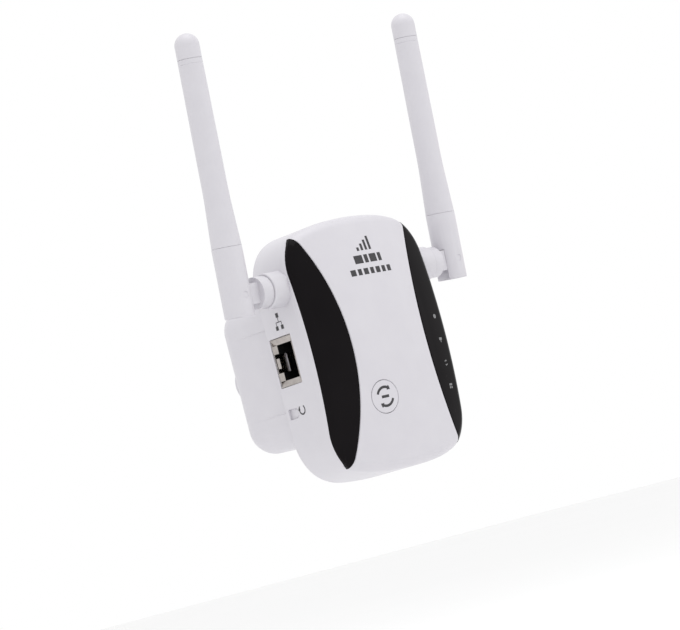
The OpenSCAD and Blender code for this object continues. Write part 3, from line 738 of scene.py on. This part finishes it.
tongue_x = -jack_face + 0.35 + 0.5 * (1 - (tongue[..., 0] - tongue_y[0]) / (tongue_y[-1] - tongue_y[0]))
tongue = np.stack([tongue_x, tongue[..., 0], tongue[..., 1]], -1)
shield = new_piece("lan_jack_shield_sheet", *lips, loft(tube, ring=True),
                   stack(tongue, tongue + (tongue_t, 0, 0)))
finish_piece(shield, "main_body", "nickel", nickel, "lan_jack_shield")


def dress(material, *nodes, soften=0.0):
    """Gives frame parts a material and, where asked, softly rounded edges."""
    for node in nodes:
        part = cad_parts[node]
        part.data.materials.clear()
        part.data.materials.append(material)
        if soften:
            weld = part.modifiers.new("weld", "WELD")
            weld.merge_threshold = 1e-6
            edge = part.modifiers.new("soften", "BEVEL")
            edge.width, edge.segments, edge.limit_method = soften / 1000, 3, "ANGLE"
            edge.angle_limit = math.radians(40)
            edge.harden_normals = True


dress(black_nylon, "lan_jack_insert", "processor", "memory_chip", "wps_switch", "reset_switch",
      "lan_transformer", "bridge_rectifier", "optocoupler", "mains_capacitors", "output_capacitors")
dress(gold, "lan_jack_contacts", "antenna_connectors", "left_radiator", "right_radiator")
dress(white_plastic, "reset_button", soften=0.12)


# ---- Plug block ----
# The rear housing closes the body and carries the plug block, a deep box with generously
# rounded ends. A grip let into each side fades out towards the back, and the raised pad carries
# two flat blades.
block_half_w, block_half_h, block_y = 27.2, 25.6, 54.8
block_r, block_back_r, corner_share, block_wall = 9.0, 8.0, 0.999, 2.0
lid_t, lid_gap = 2.0, 0.15
grip_low, grip_high, grip_end, grip_t = -14.2, 14.1, 46.0, 0.35


def block_loops(inset):
    """Loops of the block from the seam to the middle of its back: straight sides, a quarter
    round nearly as wide as the corners, then a flat back."""
    w, h, r = block_half_w - inset, block_half_h - inset, block_back_r - inset
    points, normals = round_loop(w, h, block_r - inset, 14, 20, 20)
    loops = [at_depth(points, y) for y in np.linspace(seam_y, block_y - block_back_r, 12)]
    for a in np.linspace(0, np.pi / 2, 15)[1:]:
        xz = points - normals * r * (1 - math.cos(a)) * corner_share
        loops.append(at_depth(xz, block_y - inset - r + r * math.sin(a)))
    middle = points - normals * r * corner_share
    loops += [at_depth(middle * share, block_y - inset) for share in (0.66, 0.33, 0.01)]
    return loops


rear_housing = new_piece("rear_housing_shell", loft(block_loops(block_wall)[::-1] + block_loops(0)))
lid_inset = wall + lid_gap
lid_xz, lid_n = round_loop(back_half_w - lid_inset, half_h - lid_inset, back_corner_r - wall)
lid_top = half_h - lid_inset - arch_r + np.sqrt(arch_r ** 2 - lid_xz[:, 0] ** 2)
lid_xz[:, 1] = np.clip(lid_xz[:, 1], -lid_top, lid_top)
lid_xz = lid_xz + (0, mid_z)
lid_levels = [(0.0, seam_y - lid_t), (0.0, seam_y - 0.25), (0.08, seam_y - 0.08), (0.25, seam_y)]
lid_rim = [at_depth(lid_xz - lid_n * inset, y) for inset, y in lid_levels]
combine(rear_housing, new_piece("lid", loft(lid_rim)), "UNION")
inner_half_w, inner_half_h = block_half_w - block_wall - 0.6, block_half_h - block_wall
inner_xz = round_loop(inner_half_w, inner_half_h, block_r - block_wall)[0] * 0.97
combine(rear_housing, new_piece("inner_space", loft([
    at_depth(inner_xz, y) for y in (seam_y - lid_t - 1, seam_y + 1)])))
grip_yz = round_loop((grip_end - seam_y) / 2, (grip_high - grip_low) / 2, 0.8, 5, 6, 6)[0] + (
    (grip_end + seam_y) / 2 + 0.5, (grip_high + grip_low) / 2)
grip_fade = grip_t * np.clip((grip_end - grip_yz[:, 0]) / (grip_end - seam_y), 0, 1)
for side in (-1, 1):
    combine(rear_housing, new_piece("grip", loft([
        at_side(grip_yz * (1, 0.995), side * (block_half_w - grip_fade)),
        at_side(grip_yz, side * (block_half_w + 0.02)),
        at_side(grip_yz, side * (block_half_w + clear))])))
seat_y, pad_half_w, pad_half_h, pad_r = 52.7, 22.75, 6.7, 6.6
pad_hole = round_loop(pad_half_w + 0.1, pad_half_h + 0.1, pad_r)[0]
combine(rear_housing, new_piece("pad_hole", loft([
    at_depth(pad_hole, y) for y in (seat_y, block_y + 1)])))
combine(rear_housing, new_piece("jack_clearance", loft([
    at_side(mouth, x) for x in (-40.0, -jack_face + 5)])))
screw_r, screw_spots = 1.5, [(x, z) for x in (-19, 19) for z in (34.5, -32.5)]
combine(rear_housing, new_piece("screw_holes", *(
    loft(turned([(seam_y - 4, screw_r), (seam_y + 1, screw_r)], "y", spot, columns=32))
    for spot in screw_spots)))
finish_piece(rear_housing, "main_body", "shell_plastic", white_plastic, "rear_housing")
dress(white_plastic, "plug_carrier", soften=0.7)
dress(blade_metal, "mains_blades", soften=0.18)
dress(steel, "housing_screws", soften=0.12)
dress(steel, "board_screws", "left_swivel_clip", "right_swivel_clip")
paper = moulded_plastic("label_paper", (0.72, 0.72, 0.70), (0.78, 0.78, 0.76), 0.6, 3000.0, fine_depth)
dress(paper, "rating_label")


# ---- Antennas ----
# Each antenna is a forked foot on a moulded pin, a tapered tube and a domed cap with a groove
# ring. The swivel's collar turns in the boss, and its tongue sits between the fork's ears.
lean = math.radians(5.3)
antenna_x, pin_to_tip, foot_top = 48.7, 86.1, 16.0
cap_l, groove_l, tube_gap, tube_bore_r, tube_round = 8.5, 10.2, 0.04, 3.0, 0.12
ring_depth, ring_w, taper_soft, taper_dip = 0.12, 0.11, 0.1, 0.05
sleeve_base_r, sleeve_mid_r, sleeve_mid_z, sleeve_top_r = 4.95, 4.25, 33.0, 4.05


def leaned(points, side):
    """Moves points from an antenna's own frame, with its pin at the origin, to its place: turned
    about the swivel axis by the lean, then set beside the body."""
    x, y, z = np.moveaxis(np.asarray(points, float), -1, 0)
    return np.stack([side * (antenna_x + x), swivel_y + y * math.cos(lean) - z * math.sin(lean),
                     swivel_z + y * math.sin(lean) + z * math.cos(lean)], -1)


def tube_radius(z):
    """Radius of the tube: it tapers quickly over its first stretch and slowly after it, with a
    soft change between the two."""
    top = pin_to_tip - cap_l
    early_slope = (sleeve_mid_r - sleeve_base_r) / (sleeve_mid_z - foot_top)
    late_slope = (sleeve_top_r - sleeve_mid_r) / (top - sleeve_mid_z)
    early = sleeve_base_r + early_slope * (z - foot_top)
    late = sleeve_mid_r + late_slope * (z - sleeve_mid_z)
    blend = (early + late + np.sqrt((early - late) ** 2 + taper_soft ** 2)) / 2
    return blend - taper_dip * np.exp(-((z - sleeve_mid_z) / 9) ** 2)


def sleeve_profile():
    """Profile of the tube from its inner foot, up the outside and back down: the radius, less a
    small round at both ends and a groove ring below the cap."""
    base, top, ring_z = foot_top + tube_gap, pin_to_tip - cap_l - 0.03, pin_to_tip - groove_l
    z = np.unique(np.concatenate([
        base + np.array([0, 0.02, 0.05, 0.1, 0.2]), np.linspace(foot_top + 0.6, top - 0.5, 60),
        ring_z + np.linspace(-0.3, 0.3, 13), top - np.array([0.2, 0.1, 0.05, 0.02, 0])]))
    ends = quarter_round(np.minimum(z - z[0], z[-1] - z), tube_round)
    ring = ring_depth * np.exp(-((z - ring_z) / ring_w) ** 2)
    outside = np.stack([z, tube_radius(z) - ends - ring], -1)
    return np.concatenate([outside, [(top, tube_bore_r), (base, tube_bore_r)]])


def cap_profile():
    """Profile of the cap: a spigot inside the tube, a small round at the seam, a straight stretch
    and a half round dome."""
    base, dome_z = pin_to_tip - cap_l + 0.03, pin_to_tip - sleeve_top_r
    r, spigot_r, spigot_l = tube_round, tube_bore_r - 0.05, 4
    seam = [(base + r - r * math.cos(a), sleeve_top_r - r + r * math.sin(a))
            for a in np.linspace(0, np.pi / 2, 6)]
    dome = [(dome_z + sleeve_top_r * math.sin(a), sleeve_top_r * math.cos(a))
            for a in np.linspace(0, np.pi / 2 - 0.01, 24)]
    spigot = [(base - spigot_l, 0.05), (base - spigot_l, spigot_r), (base, spigot_r)]
    return spigot + seam + dome


for side, name in ((-1, "left"), (1, "right")):
    tube_loops = leaned(turned(sleeve_profile(), "z", (0, 0)), side)
    sleeve = new_piece(name + "_antenna_tube", loft(tube_loops, ring=True))
    finish_piece(sleeve, name + "_antenna", "shell_plastic", white_plastic, name + "_antenna_sleeve")
    cap = new_piece(name + "_antenna_dome", loft(leaned(turned(cap_profile(), "z", (0, 0)), side)))
    finish_piece(cap, name + "_antenna", "shell_plastic", white_plastic, name + "_antenna_cap")
    dress(white_plastic, name + "_swivel", soften=0.25)
    dress(white_plastic, name + "_antenna_base", name + "_hinge_pin", soften=0.12)


# ---- Inside ----
# Boards, wound parts, wires and lamps are closed in by the shells. They get the finishes of
# their trade: solder mask over copper lines, tan paper laminate, tape, enamel and clear acrylic.
def lined(name, low, high, lines, gloss):
    """A surface crossed by fine straight lines, such as copper tracks or wound wire."""
    material, tree, shader, place = new_material(name)
    tracks = add_node(tree, "ShaderNodeTexWave", scale=lines, distortion=6.0, detail=1.0)
    tree.links.new(place, tracks.inputs["Vector"])
    vary(tree, tracks.outputs["Fac"], low, high, shader.inputs["Base Color"])
    vary(tree, tracks.outputs["Fac"], gloss, gloss * 1.3, shader.inputs["Roughness"])
    raise_surface(tree, shader, tracks.outputs["Fac"], 0.00003)
    return material


dress(lined("green_board", (0.012, 0.09, 0.035), (0.03, 0.17, 0.07), 300.0, 0.25), "main_board")
dress(lined("tan_board", (0.38, 0.27, 0.12), (0.46, 0.34, 0.17), 120.0, 0.5), "power_board")
dress(lined("yellow_tape", (0.55, 0.40, 0.04), (0.65, 0.50, 0.08), 400.0, 0.3), "power_transformer")
dress(lined("enamel_wire", (0.22, 0.07, 0.02), (0.36, 0.13, 0.04), 1200.0, 0.25), "filter_coil")
dress(moulded_plastic("resistor_paint", (0.25, 0.42, 0.38), (0.30, 0.48, 0.44),
                      0.45, 5000.0, fine_depth), "fusible_resistor")
dress(moulded_plastic("red_wire", (0.32, 0.02, 0.015), (0.40, 0.03, 0.02),
                      0.35, 3000.0, fine_depth), "mains_wires", "link_wires")
dress(moulded_plastic("grey_jacket", (0.20, 0.20, 0.21), (0.25, 0.25, 0.26),
                      0.4, 3000.0, fine_depth), "left_lead", "right_lead")
dress(moulded_plastic("lamp_resin", (0.62, 0.66, 0.58), (0.70, 0.74, 0.66),
                      0.2, 2000.0, fine_depth), "status_leds")
dress(moulded_plastic("clear_acrylic", (0.80, 0.86, 0.88), (0.86, 0.92, 0.94), 0.08, 800.0,
                      fine_depth, Transmission_Weight=0.9, IOR=1.49), "light_guide")
dress(nickel, "shield_can", "crystal")


# ---- Floor and light ----
# A wide white floor well under the body, a large soft lamp above it and a weak one to the right
# of its front, and an even white surround, so that floor and air read as one white.
floor_z, floor_half = -0.12, 8.0
floor_mesh = bpy.data.meshes.new("floor")
floor_mesh.from_pydata(
    [(x * floor_half, y * floor_half, floor_z) for x, y in ((-1, -1), (1, -1), (1, 1), (-1, 1))],
    [], [(0, 1, 2, 3)])
floor = bpy.data.objects.new("floor", floor_mesh)
bpy.context.scene.collection.objects.link(floor)
floor_paint, tree, shader, place = new_material("floor_paint", Roughness=0.6)
cloud = add_node(tree, "ShaderNodeTexNoise", scale=3.0, detail=2.0)
tree.links.new(place, cloud.inputs["Vector"])
vary(tree, cloud.outputs[0], (0.93, 0.93, 0.93), (0.94, 0.94, 0.94), shader.inputs["Base Color"])
floor_mesh.materials.append(floor_paint)


def soft_lamp(name, direction, distance, size, power):
    """A square lamp that faces the middle of the body from that direction."""
    data = bpy.data.lights.new(name, "AREA")
    data.shape, data.size, data.energy = "SQUARE", size, power
    lamp = bpy.data.objects.new(name, data)
    away = Vector(direction).normalized()
    lamp.location = view_target + away * distance
    lamp.rotation_mode = "QUATERNION"
    lamp.rotation_quaternion = away.to_track_quat("Z", "Y")
    bpy.context.scene.collection.objects.link(lamp)


soft_lamp("key", (0.05, -0.25, 1.1), 0.9, 0.7, 2.6)
soft_lamp("fill", (0.9, -0.8, 0.4), 1.1, 0.8, 0.4)
world = bpy.data.worlds.new("surround")
world.use_nodes = True
world.node_tree.nodes["Background"].inputs["Color"].default_value = (1.0, 1.0, 1.0, 1.0)
world.node_tree.nodes["Background"].inputs["Strength"].default_value = 1.0
bpy.context.scene.world = world
bpy.context.scene.view_settings.view_transform = "Standard"
